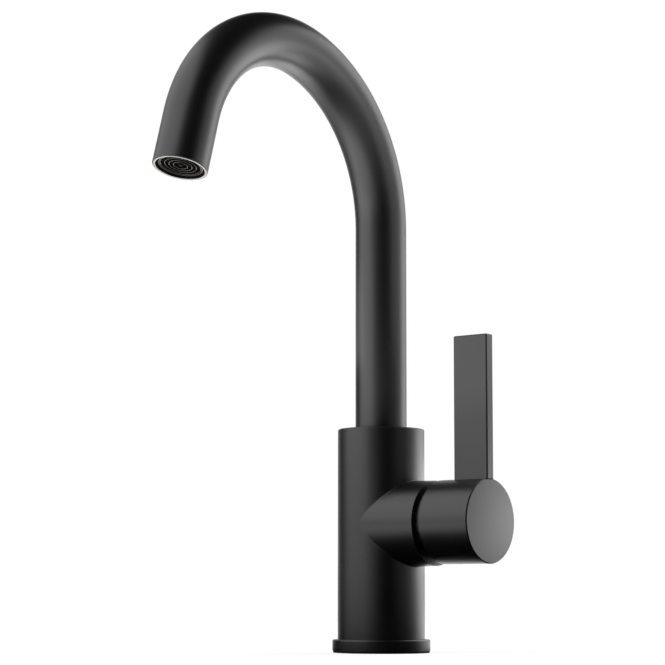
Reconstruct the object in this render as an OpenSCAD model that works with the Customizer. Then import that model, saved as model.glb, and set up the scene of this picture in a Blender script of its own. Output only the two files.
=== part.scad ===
// Basin mixer tap: a tall swivel spout on a round column, with a side barrel that
// holds a ceramic cartridge and a flat upright lever.
// Millimetres, +Z up. The origin is the centre of the face that rests on the basin.
// The spout points to -Y and the lever axis runs along +X.

/* [Base] */
// Thickness of the rubber gasket under the base ring
gasket_t = 1; // [0.6:0.1:2]
// How far the base ring stands out from the column
base_ring_out = 2.85; // [2.2:0.05:5]
// Height of the base ring above the gasket
base_ring_h = 6.15; // [5:0.05:9]
// Thickness of the inner flange that the column stands on
base_flange_t = 1.5; // [1:0.1:2.5]
// Width of the rib that keys the gasket into the ring
gasket_rib_w = 1.4; // [1:0.1:2]

/* [Column] */
// Diameter of the column
column_d = 47.2; // [46:0.1:50]
// Height of the column above the base ring
column_h = 113.2; // [112:0.1:130]
// Radius of the rounded rims on the column and the base ring
rim_r = 0.9; // [0.4:0.1:1.5]
// Wall left round the spigot that drops into the base ring
register_wall = 1.6; // [1:0.1:2.5]

/* [Side barrel] */
// Height of the lever axis above the base ring
lever_axis_h = 62.05; // [58:0.05:64]
// Outer diameter of the barrel and of the lever hub
barrel_d = 44.4; // [43.4:0.1:46]
// Distance from the column axis to the barrel's end
barrel_reach = 37.25; // [33.5:0.05:42]
// Small chamfer on the barrel's end
barrel_edge = 0.4; // [0.2:0.1:0.8]

/* [Lever] */
// Gap between the fixed barrel and the lever hub
lever_gap = 3.15; // [2.8:0.05:5]
// Length of the lever hub
hub_l = 31.1; // [28:0.1:36]
// Wall of the hub cup
hub_wall = 3; // [2.4:0.1:3.4]
// Thickness of the hub's closed end
hub_end_t = 5.5; // [4:0.1:8]
// Diameter of the boss in the hub that holds the stem
hub_boss_d = 18; // [15:0.1:22]
// Length of the slimmer collar at the hub's rear rim
hub_collar_l = 1.4; // [1:0.1:2.5]
// How much smaller the collar's radius is than the hub's
hub_collar_step = 0.2; // [0.1:0.05:0.5]
// Drop below the lever axis at which the collar is cut away so that the lever can tilt
relief_drop = 5.5; // [4:0.1:8]
// Width of the lever blade along the lever axis
blade_w = 20.8; // [14:0.1:24]
// Thickness of the lever blade
blade_t = 6.1; // [4.5:0.1:8]
// Height of the blade's top above the lever axis
blade_top = 98.4; // [60:0.1:130]
// Radius of the blade's long edges
blade_edge_r = 0.8; // [0.3:0.1:1.5]
// Largest tilt of the lever, in degrees
lift_max = 11; // [6:0.5:11]

/* [Spout] */
// Outer diameter of the spout tube
spout_d = 28; // [27.4:0.1:29]
// Wall of the spout tube
spout_wall = 1.5; // [1.2:0.05:1.8]
// Straight rise of the spout above the column
riser_h = 110.2; // [60:0.1:160]
// Bend radius of the spout's rising arc
rise_r = 89.2; // [75:0.1:110]
// Angle at which the rising arc ends
rise_angle = 76.8; // [60:0.1:89]
// Bend radius of the spout's falling arc
fall_r = 72; // [55:0.1:95]
// Angle at which the falling arc ends
fall_angle = 164.4; // [140:0.1:175]
// Straight length before the outlet
tail_l = 28.6; // [25:0.1:60]

/* [Swivel joint] */
// Depth of the tube's socket in the column
socket_depth = 12.35; // [11:0.05:14]
// Diameter of the spigot that turns in the column
spigot_d = 22.9; // [22:0.1:23.4]
// Length of the turning spigot
spigot_l = 17.5; // [17:0.1:18]
// Diameter of the water passage in the spigot
spigot_bore_d = 15; // [12:0.1:15.6]
// Thickness of the glide ring that the spout stands on
glide_t = 1.5; // [1:0.1:2]
// Thickness of the spigot's flange under the tube
spigot_flange_t = 1.5; // [1:0.1:2]
// Height of the glide ring at the mouth of the column
mouth_ring_h = 4.2; // [3:0.1:5]
// Wall of the glide ring at the mouth of the column
mouth_ring_wall = 0.95; // [0.8:0.05:1.4]
// Thickness of the sealing rings
o_ring_d = 1.7; // [1.5:0.05:1.9]
// Distance of the lower sealing ring from the spigot's end
o_ring_edge = 2.6; // [2:0.1:3]
// Distance between the two sealing rings
o_ring_pitch = 4.6; // [3.6:0.1:5]
// Distance from the upper sealing ring to the retaining groove
retainer_gap = 5.6; // [5:0.1:6]
// How far the spout turns to each side, in degrees
swivel_half = 60; // [30:1:70]
// Thread diameter of the retaining screw at the back
retainer_d = 5; // [4:0.1:5.4]
// Diameter of the retaining screw's dog point
dog_d = 3.8; // [3:0.1:4.2]

/* [Cartridge] */
// Diameter of the cartridge
cart_d = 34.8; // [34.4:0.1:35]
// Depth of the cartridge's seat inside the barrel's end
seat_depth = 35.25; // [34:0.05:38]
// Thickness of the cartridge's base
cart_base_t = 4.2; // [3.8:0.1:5]
// Wall of the cartridge's housing
cart_wall = 1.8; // [1.5:0.1:2]
// Thickness of the fixed ceramic disc
fixed_disc_t = 4; // [3:0.1:4.5]
// Thickness of the moving ceramic disc
moving_disc_t = 4; // [3:0.1:4.5]
// Diameter of the moving ceramic disc
moving_disc_d = 23; // [21.6:0.1:25]
// Thickness of the driver's plate
driver_t = 3.9; // [3:0.1:4.5]
// Thickness of the rotor's flange
rotor_flange_t = 5.2; // [4.5:0.1:6]
// Diameter of the rotor's neck
rotor_neck_d = 22; // [20:0.1:23]
// Thickness of the housing's top
cart_top_t = 2.6; // [2:0.1:3.2]
// Distance from the housing's top face to the pivot pin
pivot_rise = 0.4; // [0:0.1:1.5]
// Height of the rotor's neck above the pivot pin
neck_rise = 5; // [4:0.1:6]
// Thickness of the rubber rings round the ports
port_seal_d = 1.5; // [1.2:0.1:1.8]
// How far the rubber rings stand proud of the base
seal_proud = 0.4; // [0.2:0.05:0.6]
// Diameter of the ports in the base
port_d = 5.6; // [4.6:0.1:6]
// Distance from the cartridge axis to the ports' centres
port_offset = 8.6; // [8.2:0.1:9]
// How far the turning range goes to each side, in degrees
turn_half = 45; // [30:1:50]

/* [Lever stem] */
// Width across flats of the square stem
stem_w = 8; // [7:0.1:8.5]
// Diameter of the ball that moves the disc
ball_d = 6; // [5:0.1:6.4]
// Diameter of the pivot pin
pin_d = 3; // [2.5:0.1:3.5]
// Depth of the stem's socket in the hub boss
stem_grip = 14; // [10:0.1:17]
// Diameter of the grub screw in the hub
hub_screw_d = 5; // [4:0.1:6]
// Diameter of the plug over the grub screw
plug_d = 6; // [5.4:0.1:7]

/* [Nut and neck ring] */
// Height of the brass nut that holds the cartridge
nut_h = 6.4; // [5:0.1:7]
// Wall of the housing's neck inside the nut
neck_wall = 2; // [1.5:0.1:2.4]
// Notches for the nut's key
nut_notches = 6; // [4:1:8]
// Radial depth of the nut's thread over the cartridge
nut_step = 1.6; // [1.4:0.1:1.9]
// How far the dark neck ring stands out of the barrel
neck_ring_out = 2.15; // [1.4:0.05:2.4]

/* [Connections underneath] */
// Wall diameter of the inlets for the flexible hoses
inlet_d = 9; // [8:0.1:9.4]
// Depth of the inlets
inlet_depth = 14; // [10:0.1:20]
// Distance between the two inlets
inlet_pitch = 18; // [17:0.1:19]
// Distance of the inlets behind the column axis, away from the lever
inlet_back = 8; // [7:0.1:9]
// Wall diameter of the hole for the fixing stud
stud_d = 6.8; // [5:0.1:8.5]
// Depth of the hole for the fixing stud
stud_depth = 17; // [12:0.1:24]
// Distance of the stud from the column axis, towards the lever
stud_x = 10; // [8:0.1:12]
// Diameter of the water channels in the column
channel_d = 7; // [5:0.1:7.2]

/* [Outlet] */
// Depth of the outlet bush below the tube's end
bush_recess = 4; // [2:0.1:5]
// Wall of the outlet bush
bush_wall = 0.85; // [0.6:0.05:1]
// Radial room for the thread between the bush and the aerator housing
thread_room = 0.25; // [0.1:0.05:0.4]
// Depth of the aerator's face below the tube's end
aerator_recess = 1; // [0.5:0.1:2]
// Length of the aerator housing
aerator_l = 13; // [12:0.1:15]
// Wall of the aerator housing
aerator_wall = 0.8; // [0.6:0.05:1]
// Thickness of the aerator's rings
ring_t = 0.5; // [0.4:0.05:0.7]
// Radius of the innermost aerator ring
first_ring_r = 3.6; // [2.8:0.1:4.2]
// Distance from one aerator ring to the next
ring_pitch = 2.2; // [1.9:0.05:2.6]
// Height of the aerator's rings
ring_h = 1.6; // [1:0.1:2.5]
// Diameter of the holes in the sieve
sieve_hole_d = 1.6; // [1:0.1:1.8]

/* [Fits] */
// Radial clearance of everything that turns
run_fit = 0.05; // [0.02:0.01:0.09]
// Radial clearance of parts that are pushed or screwed together
push_fit = 0.05; // [0.02:0.01:0.1]
// Clearance beside flat faces that slide
slide_fit = 0.1; // [0.05:0.01:0.15]

/* [Hidden] */
$fn = 96;
// Overlap of a cutter past the face it opens
eps = 0.5;

// Heights
column_z = gasket_t + base_ring_h;
column_top = column_z + column_h;
register_z = gasket_t + base_flange_t;
axis_z = column_z + lever_axis_h;
arc_z = column_top + riser_h;

// Base
column_r = column_d / 2;
base_r = column_r + base_ring_out;
register_r = column_r - register_wall;
flange_w = 2.5;
flange_r = register_r - flange_w;
gasket_in_r = flange_r + 1;
gasket_out_r = base_r - 0.4;
rib_r = (flange_r + base_r) / 2;
rib_h = 0.9;

// Swivel joint
spout_r = spout_d / 2;
tube_bore_r = spout_r - spout_wall;
socket_z = column_top - socket_depth;
socket_gap = 0.3;
socket_r = spout_r + socket_gap;
mouth_ring_r = spout_r + run_fit + mouth_ring_wall;
mouth_recess = 0.3;
mouth_ring_z = column_top - mouth_recess - mouth_ring_h;
spigot_r = spigot_d / 2;
spigot_bore_r = spigot_r + run_fit;
spigot_z = socket_z - spigot_l;
chamber_gap = 0.5;
chamber_z = spigot_z - chamber_gap;
flange_z = socket_z + glide_t + run_fit;
tube_z = flange_z + spigot_flange_t;
plug_in_tube = 12;
o_ring_r = spigot_r - o_ring_d / 2 + 0.01;
o_groove_w = o_ring_d + 0.6;
o_ring_zs = [spigot_z + o_ring_edge, spigot_z + o_ring_edge + o_ring_pitch];
retainer_z = o_ring_zs[1] + retainer_gap;
groove_r = spigot_r - 2.2;
groove_w = dog_d + 0.5;
dog_tip_r = groove_r + 0.3;
dog_half_angle = asin((dog_d / 2 + 0.2) / dog_tip_r);
groove_angle = swivel_half + dog_half_angle;

// Spout path, as distances in front of the column axis and heights
hair = 0.01;
lap_angle = 0.3;
lap_l = 0.4;
rise_end = [rise_r * (1 - cos(rise_angle)), arc_z + rise_r * sin(rise_angle)];
fall_centre = rise_end + fall_r * [cos(rise_angle), -sin(rise_angle)];
fall_end = fall_centre + fall_r * [-cos(fall_angle), sin(fall_angle)];
outlet = fall_end + tail_l * [sin(fall_angle), cos(fall_angle)];

// Cartridge stack, as distances along +X from the column axis
cart_r = cart_d / 2;
cart_in_r = cart_r - cart_wall;
cart_bore_r = cart_r + 0.15;
seat_x = barrel_reach - seat_depth;
cart_x = seat_x + seal_proud;
base_step = 2.4;
skirt_x = cart_x + base_step;
base_top = cart_x + cart_base_t;
fixed_x = base_top + seal_proud;
disc_gap = 0.02;
moving_x = fixed_x + fixed_disc_t + disc_gap;
driver_x = moving_x + moving_disc_t;
driver_top = driver_x + driver_t;
rotor_gap = 0.3;
rotor_x = driver_top + rotor_gap;
rotor_top = rotor_x + rotor_flange_t;
lid_x = rotor_top + slide_fit;
shoulder_x = lid_x + cart_top_t;
pivot_x = shoulder_x + pivot_rise;
neck_end = pivot_x + neck_rise;
ball_x = driver_x + ball_d / 2 + 0.3;
arm_l = pivot_x - ball_x;
disc_travel = arm_l * sin(lift_max);
rotor_r = cart_in_r - 0.3;
neck_r = rotor_neck_d / 2;
boss_w = 12;
boss_l = 15;
boss_h = 2;
slot_half = stem_w / 2 / cos(lift_max) + neck_rise * sin(lift_max) + 0.4;
stop_half = 8;
stop_r = moving_disc_d / 2 + 1.6;

// Nut and neck ring
thread_r = cart_bore_r + nut_step;
nut_r = thread_r - push_fit;
nut_bore_r = neck_r + run_fit + neck_wall + 0.2;
nut_end = shoulder_x + nut_h;
nut_gap = 0.3;
neck_foot_x = nut_end + nut_gap;
neck_ring_r = nut_r - 0.2;
neck_ring_bore = neck_r + 1.5;
neck_ring_end = barrel_reach + neck_ring_out;
neck_web = 0.8;

// Lever
hub_r = barrel_d / 2;
hub_x = barrel_reach + lever_gap;
hub_end = hub_x + hub_l;
hub_floor = hub_end - hub_end_t;
hub_in_r = hub_r - hub_wall;
stem_short = 4;
stem_end = hub_floor - stem_short;
boss_x = stem_end - stem_grip;
relief_ramp = 1.5;
grip_x = boss_x + stem_grip / 2;
tenon_shoulder = 3;
tenon_l = 11;
tenon_t = blade_t - 2.4;
tenon_r = hub_in_r - 1.6;
tenon_x = hub_end - blade_w + tenon_shoulder;

// Ports, as angles from straight up and distances from the cartridge axis
port_r = port_d / 2;
inlet_angle = 55;
port_angles = [inlet_angle, -inlet_angle, 180];
seal_ring_r = port_r + port_seal_d / 2 + 0.1;
lug_r = 1.5;
lug_at = cart_r - 2.8;
lug_depth = 2.2;
channel_r = channel_d / 2;
pocket_r = 6.2;
pocket_depth = 2;
outlet_half = 35;
inlet_port_in = pocket_r + 0.8;
inlet_port_w = 3;
inlet_port_half = 20;

// Aerator, as distances back from the tube's end
bush_r = tube_bore_r - push_fit;
bush_bore_r = bush_r - bush_wall;
aerator_r = bush_bore_r - thread_room;
aerator_in_r = aerator_r - aerator_wall;
aerator_back = aerator_recess + aerator_l;
ring_rs = [for (r = first_ring_r; r < aerator_in_r - ring_t / 2 - push_fit; r = r + ring_pitch) r];
post_r = first_ring_r - 2.5;
stream_hole_r = 0.6;
seal_t = 1.6;
bush_lip = 1.5;
bush_back = aerator_back + seal_t + bush_lip;
sieve_depth = 5.4;
sieve_t = 0.6;
sieve_back = aerator_recess + sieve_depth;
regulator_gap = 4;
regulator_t = 2;
regulator_back = sieve_back + regulator_gap;

// Moves its children from a frame with +Z along the lever axis and -X up
module on_lever_axis() {
    translate([0, 0, axis_z])
        rotate([0, 90, 0])
            children();
}

// Places its children at an angle from straight up round the lever axis
module at_clock(angle, distance) {
    rotate([0, 0, 180 - angle])
        translate([distance, 0, 0])
            children();
}

// Places its children at the centre of the outlet, with +Z along the stream
module at_outlet() {
    translate([0, -outlet[0], outlet[1]])
        rotate([fall_angle, 0, 0])
            children();
}

// Tube or ring standing on z
module ring(r_out, r_in, z, h) {
    translate([0, 0, z])
        difference() {
            cylinder(r = r_out, h = h);
            translate([0, 0, -eps]) cylinder(r = r_in, h = h + 2 * eps);
        }
}

// Plain disc standing on z
module disc(r, z, h) {
    translate([0, 0, z]) cylinder(r = r, h = h);
}

// Ring segment centred on an angle from straight up
module segment(r_in, r_out, angle, half, z, h) {
    translate([0, 0, z])
        rotate([0, 0, 180 - angle - half])
            rotate_extrude(angle = 2 * half)
                translate([r_in, 0]) square([r_out - r_in, h]);
}

// Round-section ring
module o_ring(centre_r, thickness) {
    rotate_extrude() translate([centre_r, 0]) circle(r = thickness / 2, $fn = 32);
}

// Half section of a turned piece whose upper rim is rounded
module rounded_half(r, h, edge) {
    square([r - edge, h]);
    square([r, h - edge]);
    translate([r - edge, h - edge]) circle(r = edge, $fn = 32);
}

// Rectangle with rounded corners
module rounded_rect(w, t, edge) {
    difference() {
        square([w, t], center = true);
        for (sx = [-1, 1], sy = [-1, 1])
            translate([sx * (w / 2 - edge), sy * (t / 2 - edge)])
                difference() {
                    translate([sx < 0 ? -edge - eps : 0, sy < 0 ? -edge - eps : 0])
                        square(edge + eps);
                    circle(r = edge, $fn = 32);
                }
    }
}

// Spout path swept by a round section, reaching past both ends by extra. The falling arc and the
// tail are each drawn a hair fuller than the stretch before and lap over it, so that all merge.
module spout_sweep(r, extra) {
    translate([0, 0, tube_z - extra]) cylinder(r = r, h = arc_z - tube_z + extra);
    translate([0, -rise_r, arc_z])
        rotate([90, 0, 90])
            rotate_extrude(angle = rise_angle) translate([rise_r, 0]) circle(r = r);
    translate([0, -fall_centre[0], fall_centre[1]])
        rotate([90, 0, 90])
            rotate([0, 0, rise_angle - lap_angle])
                rotate_extrude(angle = fall_angle - rise_angle + lap_angle)
                    translate([fall_r, 0]) circle(r = r + hair);
    at_outlet() translate([0, 0, -tail_l - lap_l]) cylinder(r = r + 2 * hair, h = tail_l + lap_l + extra);
}

// Sockets and passages that open from the column's top and back
module swivel_cuts() {
    translate([0, 0, socket_z]) cylinder(r = socket_r, h = socket_depth + eps);
    translate([0, 0, mouth_ring_z])
        cylinder(r = mouth_ring_r + push_fit, h = column_top - mouth_ring_z + eps);
    translate([0, 0, chamber_z]) cylinder(r = spigot_bore_r, h = socket_z - chamber_z + eps);
    translate([0, 0, retainer_z])
        rotate([-90, 0, 0])
            cylinder(r = retainer_d / 2 + push_fit, h = column_r + eps);
}

// Seat, thread and locating holes for the cartridge
module cartridge_cuts() {
    on_lever_axis() {
        translate([0, 0, seat_x]) cylinder(r = cart_bore_r, h = barrel_reach - seat_x + eps);
        translate([0, 0, shoulder_x - 0.5])
            cylinder(r = thread_r, h = barrel_reach - shoulder_x + 0.5 + eps);
        for (side = [-90, 90])
            at_clock(side, lug_at) translate([0, 0, seat_x - lug_depth - 0.3])
                cylinder(r = lug_r + push_fit, h = lug_depth + 0.3 + eps, $fn = 32);
    }
}

// Water channels from the inlets to the seat and from the seat up to the spout
module water_cuts() {
    for (side = [-1, 1]) {
        translate([-inlet_back, side * inlet_pitch / 2, register_z - eps])
            cylinder(r = channel_r, h = axis_z + port_offset * cos(inlet_angle) - register_z + eps);
        translate([-inlet_back, side * inlet_pitch / 2, register_z - eps])
            cylinder(r = inlet_d / 2, h = inlet_depth + eps);
    }
    translate([-inlet_back, 0, axis_z - port_offset])
        cylinder(r = port_r, h = chamber_z - axis_z + port_offset + eps);
    on_lever_axis()
        for (a = port_angles)
            at_clock(a, port_offset) translate([0, 0, -inlet_back])
                cylinder(r = port_r, h = inlet_back + seat_x + eps);
}

// Column, side barrel and foot in one casting
module mixer_body() {
    color([0.08, 0.08, 0.08])
    difference() {
        union() {
            translate([0, 0, column_z]) rotate_extrude() rounded_half(column_r, column_h, rim_r);
            translate([0, 0, register_z]) cylinder(r = register_r, h = column_z - register_z + eps);
            on_lever_axis() {
                cylinder(r = hub_r, h = barrel_reach - barrel_edge);
                translate([0, 0, barrel_reach - barrel_edge])
                    cylinder(r1 = hub_r, r2 = hub_r - barrel_edge, h = barrel_edge);
            }
        }
        swivel_cuts();
        cartridge_cuts();
        water_cuts();
        translate([stud_x, 0, register_z - eps]) cylinder(r = stud_d / 2, h = stud_depth + eps);
    }
}

// Trim ring with the flange that the column stands on and a groove for the gasket
module base_ring() {
    color([0.07, 0.07, 0.07])
    difference() {
        translate([0, 0, gasket_t]) rotate_extrude() rounded_half(base_r, base_ring_h, rim_r);
        translate([0, 0, register_z]) cylinder(r = register_r + push_fit, h = base_ring_h + eps);
        translate([0, 0, gasket_t - eps]) cylinder(r = flange_r, h = base_ring_h);
        ring(rib_r + gasket_rib_w / 2 + push_fit, rib_r - gasket_rib_w / 2 - push_fit, gasket_t - eps,
             rib_h + 0.1 + eps);
    }
}

// Rubber gasket with its keying rib
module base_gasket() {
    color([0.12, 0.12, 0.12]) {
        union() {
            ring(gasket_out_r, gasket_in_r, 0, gasket_t);
            ring(rib_r + gasket_rib_w / 2, rib_r - gasket_rib_w / 2, gasket_t - 0.2, rib_h + 0.2);
        }
    }
}

// Grub screw at the back whose dog point keeps the spout in and limits its swing
module retaining_screw() {
    color([0.35, 0.35, 0.36])
    translate([0, 0, retainer_z])
        rotate([-90, 0, 0])
            difference() {
                union() {
                    translate([0, 0, dog_tip_r]) cylinder(r = dog_d / 2, h = 4, $fn = 48);
                    translate([0, 0, spigot_bore_r + 1.2])
                        cylinder(r = retainer_d / 2, h = column_r - spigot_bore_r - 2.4, $fn = 48);
                }
                translate([0, 0, column_r - 3.6]) cylinder(r = retainer_d / 4, h = 4, $fn = 6);
            }
}

// Plastic ring that carries the spout's weight
module lower_glide_ring() {
    color([0.85, 0.85, 0.82]) ring(socket_r - push_fit, spigot_bore_r + 0.1, socket_z, glide_t);
}

// Plastic ring that guides the tube at the mouth of the column
module mouth_glide_ring() {
    color([0.1, 0.1, 0.1]) ring(mouth_ring_r, spout_r + run_fit, mouth_ring_z, mouth_ring_h);
}

// Rubber rings between the column's seat and the cartridge
module port_seals() {
    color([0.15, 0.15, 0.15])
    on_lever_axis()
        for (a = port_angles)
            at_clock(a, port_offset)
                translate([0, 0, seat_x + port_seal_d / 2]) o_ring(seal_ring_r, port_seal_d);
}

// Rubber rings between the cartridge's base and the fixed disc
module disc_seals() {
    color([0.15, 0.15, 0.15])
    on_lever_axis()
        for (a = port_angles)
            at_clock(a, port_offset)
                translate([0, 0, fixed_x - port_seal_d / 2]) o_ring(seal_ring_r, port_seal_d);
}

// Cartridge base with its three ports, seal recesses and locating lugs
module cartridge_base() {
    recess = port_seal_d - seal_proud + 0.05;
    recess_r = seal_ring_r + port_seal_d / 2 + 0.05;
    color([0.75, 0.75, 0.72])
    on_lever_axis() {
        difference() {
            union() {
                disc(cart_r, cart_x, base_step);
                disc(cart_in_r - push_fit, cart_x, cart_base_t);
                for (side = [-90, 90])
                    at_clock(side, lug_at) disc(lug_r, seat_x - lug_depth, lug_depth + 1);
            }
            for (a = port_angles)
                at_clock(a, port_offset) {
                    disc(port_r, cart_x - eps, cart_base_t + 2 * eps);
                    disc(recess_r, cart_x - eps, recess + eps);
                    disc(recess_r, base_top - recess, recess + eps);
                }
        }
    }
}

// Fixed ceramic disc with two inlet ports and one outlet port
module fixed_disc() {
    color([0.93, 0.93, 0.9])
    on_lever_axis()
        difference() {
            disc(cart_in_r - 0.2, fixed_x, fixed_disc_t);
            for (side = [-1, 1])
                segment(inlet_port_in, inlet_port_in + inlet_port_w, side * inlet_angle, inlet_port_half,
                        fixed_x - eps, fixed_disc_t + 2 * eps);
            at_clock(180, port_offset) disc(port_r - 0.4, fixed_x - eps, fixed_disc_t + 2 * eps);
        }
}

// Moving ceramic disc with the mixing pocket in its face
module moving_disc() {
    color([0.9, 0.9, 0.88])
    on_lever_axis()
        difference() {
            disc(moving_disc_d / 2, moving_x, moving_disc_t);
            disc(pocket_r, moving_x - eps, pocket_depth + eps);
            segment(0.5, moving_disc_d / 2 - 1.5, 180, outlet_half, moving_x - eps, pocket_depth + eps);
        }
}

// Plastic driver on the moving disc: a plate, a guiding boss and the ball's socket
module disc_driver() {
    color([0.25, 0.35, 0.6])
    on_lever_axis()
        difference() {
            union() {
                disc(moving_disc_d / 2 - 0.5, driver_x, driver_t);
                translate([-boss_l / 2, -boss_w / 2, driver_x])
                    cube([boss_l, boss_w, driver_t + boss_h]);
            }
            disc(ball_d / 2 + slide_fit, driver_x + 0.1, driver_t + boss_h + eps);
        }
}

// Rotor that turns in the housing, guides the driver and carries the pivot pin
module cartridge_rotor() {
    channel_l = boss_l + 2 * disc_travel + 0.8;
    color([0.8, 0.8, 0.78])
    on_lever_axis()
        difference() {
            union() {
                disc(rotor_r, rotor_x, rotor_flange_t);
                disc(neck_r, rotor_x, neck_end - rotor_x);
            }
            translate([-channel_l / 2, -boss_w / 2 - slide_fit, rotor_x - eps])
                cube([channel_l, boss_w + 2 * slide_fit, boss_h + eps]);
            translate([-slot_half, -stem_w / 2 - slide_fit, rotor_x - eps])
                cube([2 * slot_half, stem_w + 2 * slide_fit, neck_end - rotor_x + 2 * eps]);
            segment(stop_r, rotor_r + eps, 180, turn_half + stop_half + 2, rotor_x - eps,
                    rotor_flange_t + 2 * eps);
            translate([0, 0, pivot_x]) rotate([90, 0, 0])
                cylinder(r = pin_d / 2, h = 2 * neck_r, center = true);
        }
}

// Steel pin that the stem tilts on
module pivot_pin() {
    pin_l = 2 * sqrt(pow(neck_r, 2) - pow(pin_d / 2, 2)) - 1;
    color([0.7, 0.7, 0.72])
    on_lever_axis()
        translate([0, 0, pivot_x]) rotate([90, 0, 0]) cylinder(r = pin_d / 2, h = pin_l, center = true);
}

// Housing of the cartridge with its neck and the rib that stops the rotor
module cartridge_housing() {
    neck_out = neck_r + run_fit + neck_wall;
    color([0.3, 0.3, 0.32])
    on_lever_axis()
        difference() {
            union() {
                disc(cart_r, skirt_x, shoulder_x - skirt_x);
                disc(neck_out, shoulder_x - 1, nut_h);
            }
            difference() {
                disc(cart_in_r, skirt_x - eps, lid_x - skirt_x + eps);
                segment(stop_r + 0.4, cart_in_r + 0.2, 180, stop_half, rotor_x, lid_x - rotor_x + eps);
            }
            disc(neck_r + run_fit, skirt_x, neck_end + nut_h);
        }
}

// Brass nut with key notches that clamps the cartridge on its seat
module cartridge_nut() {
    color([0.78, 0.62, 0.3])
    on_lever_axis()
        difference() {
            ring(nut_r, nut_bore_r, shoulder_x, nut_h);
            for (i = [0 : nut_notches - 1])
                rotate([0, 0, i * 360 / nut_notches])
                    translate([nut_bore_r - 1, -1.6, nut_end - 2]) cube([nut_r, 3.2, 2 + eps]);
        }
}

// Dark ring that closes the barrel behind the lever hub
module neck_ring() {
    color([0.03, 0.03, 0.03])
    on_lever_axis()
        difference() {
            union() {
                disc(nut_r, neck_foot_x, barrel_reach - neck_foot_x);
                disc(neck_ring_r, barrel_reach - neck_web, neck_ring_out + neck_web);
            }
            disc(neck_ring_bore, nut_end, neck_ring_end - nut_end + eps);
            disc(nut_r - 2, nut_end, barrel_reach - nut_end - neck_web);
        }
}

// Square stem with the ball that slides the disc
module lever_stem() {
    shank_x = ball_x + 5;
    color([0.75, 0.68, 0.45])
    on_lever_axis()
        difference() {
            union() {
                translate([0, 0, ball_x]) sphere(r = ball_d / 2, $fn = 48);
                disc(ball_d / 2 - 0.6, ball_x, shank_x - ball_x + 0.5);
                translate([-stem_w / 2, -stem_w / 2, shank_x]) cube([stem_w, stem_w, stem_end - shank_x]);
            }
            translate([0, 0, pivot_x]) rotate([90, 0, 0])
                cylinder(r = pin_d / 2 + run_fit, h = stem_w + 2 * eps, center = true);
        }
}

// Cut that lets the lower half of the hub's rear rim pass the barrel when the lever tilts
module hub_relief() {
    far = hub_r + 2;
    rotate([90, 0, 0])
        translate([0, 0, -far])
            linear_extrude(height = 2 * far)
                polygon([
                    [relief_drop - relief_ramp, hub_x - eps],
                    [relief_drop - relief_ramp, hub_x],
                    [relief_drop + relief_ramp, hub_x + hub_collar_l],
                    [far, hub_x + hub_collar_l],
                    [far, hub_x - eps]
                ]);
}

// Lever hub: a cup with a boss that grips the stem
module lever_hub() {
    collar_r = hub_r - hub_collar_step;
    color([0.08, 0.08, 0.08])
    on_lever_axis()
        difference() {
            union() {
                difference() {
                    union() {
                        disc(collar_r, hub_x, hub_collar_l + eps);
                        disc(hub_r, hub_x + hub_collar_l, hub_l - hub_collar_l - barrel_edge);
                        translate([0, 0, hub_end - barrel_edge])
                            cylinder(r1 = hub_r, r2 = hub_r - barrel_edge, h = barrel_edge);
                    }
                    disc(hub_in_r, hub_x - eps, hub_l - hub_end_t + eps);
                }
                disc(hub_boss_d / 2, boss_x, hub_floor - boss_x + 0.5);
            }
            hub_relief();
            translate([-stem_w / 2 - push_fit, -stem_w / 2 - push_fit, boss_x - eps])
                cube([stem_w + 2 * push_fit, stem_w + 2 * push_fit, hub_floor - boss_x + eps]);
            translate([0, 0, grip_x]) rotate([0, 90, 0])
                cylinder(r = hub_screw_d / 2 + push_fit, h = hub_r);
            translate([0, 0, grip_x]) rotate([0, 90, 0])
                translate([0, 0, hub_in_r - 2]) cylinder(r = plug_d / 2 + push_fit, h = hub_wall + 4);
            translate([-hub_r, -tenon_t / 2 - push_fit, tenon_x - push_fit])
                cube([hub_r - tenon_r + 1, tenon_t + 2 * push_fit, tenon_l + 2 * push_fit]);
        }
}

// Upright blade, seated on the hub and let into it by a tenon
module lever_blade() {
    color([0.08, 0.08, 0.08])
    on_lever_axis() {
        difference() {
            translate([-blade_top, 0, hub_end - blade_w / 2])
                rotate([0, 90, 0])
                    linear_extrude(height = blade_top) rounded_rect(blade_w, blade_t, blade_edge_r);
            disc(hub_r, hub_end - blade_w - eps, blade_w + 2 * eps);
        }
        translate([-hub_r - 1, -tenon_t / 2, tenon_x]) cube([hub_r + 1 - tenon_r, tenon_t, tenon_l]);
    }
}

// Grub screw that grips the stem
module hub_screw() {
    screw_l = 8;
    color([0.5, 0.5, 0.52])
    on_lever_axis()
        translate([0, 0, grip_x]) rotate([0, 90, 0])
            difference() {
                translate([0, 0, stem_w / 2]) cylinder(r = hub_screw_d / 2, h = screw_l, $fn = 48);
                translate([0, 0, stem_w / 2 + screw_l - 2.5]) cylinder(r = hub_screw_d / 4, h = 3, $fn = 6);
            }
}

// Plug that hides the grub screw
module hub_screw_plug() {
    color([0.06, 0.06, 0.06])
    on_lever_axis()
        intersection() {
            translate([0, 0, grip_x]) rotate([0, 90, 0])
                translate([0, 0, hub_in_r]) cylinder(r = plug_d / 2, h = hub_wall + 1, $fn = 48);
            disc(hub_r - 0.05, grip_x - plug_d, 2 * plug_d);
        }
}

// Bent tube of the spout
module spout_tube() {
    color([0.08, 0.08, 0.08])
    difference() {
        spout_sweep(spout_r, 0);
        spout_sweep(tube_bore_r, eps);
    }
}

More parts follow.
